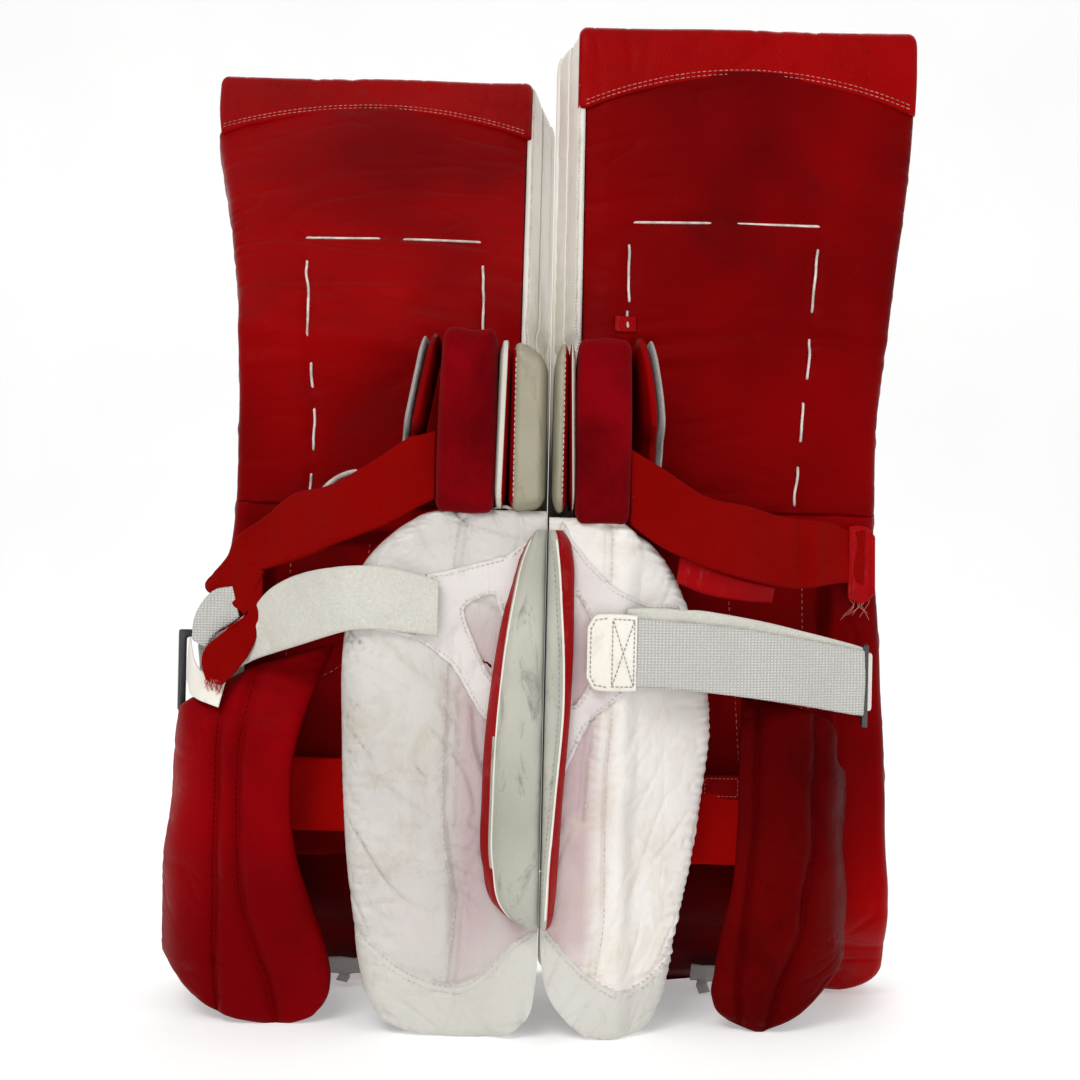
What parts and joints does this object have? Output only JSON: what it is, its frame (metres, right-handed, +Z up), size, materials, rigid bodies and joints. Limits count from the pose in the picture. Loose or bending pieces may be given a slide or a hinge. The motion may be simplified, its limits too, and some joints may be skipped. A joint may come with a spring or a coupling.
{
  "type": "ice hockey goalie leg pads",
  "caption": "Red and white ice hockey goalie leg pads seen from the leg side, with padded calf wraps, knee blocks and hook-and-loop straps.",
  "frame": {"origin": "on the floor under the middle of the pair, between the two pads", "axes": "+Z up, -Y towards the leg side, +Y towards the front faces, +X towards the right leg's pad"},
  "size_m": [0.594, 0.3174, 0.795],
  "materials": {
    "foam_core": "matte",
    "front_leather": "satin",
    "red_nylon": "satin",
    "red_leather": "satin",
    "white_leather": "satin",
    "white_padding": "satin",
    "red_padding": "matte",
    "red_elastic": "matte",
    "white_webbing": "matte",
    "white_lace": "matte",
    "grey_loop": "matte",
    "dark_lining": "matte",
    "black_metal": "satin"
  },
  "bodies": {
    "right_shin": {"right_shin_core": "foam_core", "right_shin_face": "front_leather", "right_shin_wall": "white_leather", "right_knee_lining": "red_nylon", "right_shin_liner": "red_nylon", "right_inner_strap": "red_elastic", "right_calf_wedge": "white_padding", "right_wrap_base": "white_padding", "right_ring_tab": "white_leather", "right_strap_patch": "white_leather", "right_hook_tab": "red_leather", "right_knee_strap": "red_elastic"},
    "right_thigh": {"right_thigh_core": "foam_core", "right_thigh_face": "front_leather", "right_thigh_lining": "red_nylon", "right_thigh_wall": "white_leather", "right_thigh_cap": "red_leather", "right_thigh_lacing": "white_lace"},
    "right_boot": {"right_boot_core": "foam_core", "right_boot_face": "front_leather", "right_boot_lining": "dark_lining", "right_toe_bridge": "grey_loop"},
    "right_flap": {"right_inner_flap": "white_padding", "right_calf_strap": "white_webbing"},
    "right_wrap": {"right_outer_wrap": "red_padding"},
    "right_stack": {"right_knee_block": "red_padding", "right_knee_leaf": "white_padding", "right_knee_outer": "white_padding", "right_knee_wing": "red_padding", "right_knee_loop_strip": "grey_loop"},
    "right_ring": {"right_strap_ring": "black_metal"},
    "left_shin": {"left_shin_core": "foam_core", "left_shin_face": "front_leather", "left_shin_wall": "white_leather", "left_knee_lining": "red_nylon", "left_shin_liner": "red_nylon", "left_inner_strap": "red_elastic", "left_calf_wedge": "white_padding", "left_wrap_base": "white_padding", "left_ring_tab": "white_leather", "left_knee_strap": "red_elastic"},
    "left_thigh": {"left_thigh_core": "foam_core", "left_thigh_face": "front_leather", "left_thigh_lining": "red_nylon", "left_thigh_wall": "white_leather", "left_thigh_cap": "red_leather", "left_thigh_lacing": "white_lace"},
    "left_boot": {"left_boot_core": "foam_core", "left_boot_face": "front_leather", "left_boot_lining": "dark_lining", "left_toe_bridge": "grey_loop"},
    "left_flap": {"left_inner_flap": "white_padding", "left_calf_strap": "white_webbing"},
    "left_wrap": {"left_outer_wrap": "red_padding"},
    "left_stack": {"left_knee_block": "red_padding", "left_knee_leaf": "white_padding", "left_knee_outer": "white_padding", "left_knee_wing": "red_padding", "left_knee_loop_strip": "grey_loop"},
    "left_ring": {"left_strap_ring": "black_metal"}
  },
  "joints": [
    {"name": "right_thigh_flex", "type": "hinge", "parent": "right_shin", "child": "right_thigh", "pos_m": [0.15, 0.0113, 0.523], "axis": [1, 0, 0], "range_deg": [-25, 8.8]},
    {"name": "right_boot_flex", "type": "hinge", "parent": "right_shin", "child": "right_boot", "pos_m": [0.15, 0.0113, 0.096], "axis": [1, 0, 0], "range_deg": [-25, 15]},
    {"name": "right_flap_open", "type": "hinge", "parent": "right_shin", "child": "right_flap", "pos_m": [0.052, -0.1427, 0.19], "axis": [0, 0, 1], "range_deg": [-110, 0], "deforming": ["right_calf_strap"]},
    {"name": "right_wrap_open", "type": "hinge", "parent": "right_shin", "child": "right_wrap", "pos_m": [0.24, -0.0487, 0.14], "axis": [0, 0, 1], "range_deg": [0, 70]},
    {"name": "right_stack_swing", "type": "hinge", "parent": "right_shin", "child": "right_stack", "pos_m": [0.083, -0.0497, 0.455], "axis": [0, 0, 1], "range_deg": [0, 20], "deforming": ["right_knee_strap"]},
    {"name": "right_ring_turn", "type": "hinge", "parent": "right_shin", "child": "right_ring", "pos_m": [0.252, -0.0547, 0.263], "axis": [0, 0, 1], "range_deg": [-40, 40]},
    {"name": "left_thigh_flex", "type": "hinge", "parent": "left_shin", "child": "left_thigh", "pos_m": [-0.15, 0.0113, 0.523], "axis": [1, 0, 0], "range_deg": [-6, 32.5]},
    {"name": "left_boot_flex", "type": "hinge", "parent": "left_shin", "child": "left_boot", "pos_m": [-0.15, 0.0113, 0.096], "axis": [1, 0, 0], "range_deg": [-25, 15]},
    {"name": "left_flap_open", "type": "hinge", "parent": "left_shin", "child": "left_flap", "pos_m": [-0.052, -0.1427, 0.19], "axis": [0, 0, 1], "range_deg": [0, 80], "deforming": ["left_calf_strap"]},
    {"name": "left_wrap_open", "type": "hinge", "parent": "left_shin", "child": "left_wrap", "pos_m": [-0.287, -0.0487, 0.14], "axis": [0, 0, 1], "range_deg": [-70, 0]},
    {"name": "left_stack_swing", "type": "hinge", "parent": "left_shin", "child": "left_stack", "pos_m": [-0.097, -0.0497, 0.455], "axis": [0, 0, 1], "range_deg": [-20, 0], "deforming": ["left_knee_strap"]},
    {"name": "left_ring_turn", "type": "hinge", "parent": "left_shin", "child": "left_ring", "pos_m": [-0.262, -0.0547, 0.263], "axis": [0, 0, 1], "range_deg": [-40, 10]},
    {"name": "pads_apart", "type": "slide", "parent": "right_shin", "child": "left_shin", "axis": [-1, 0, 0], "range_m": [0, 0.25]}
  ]
}
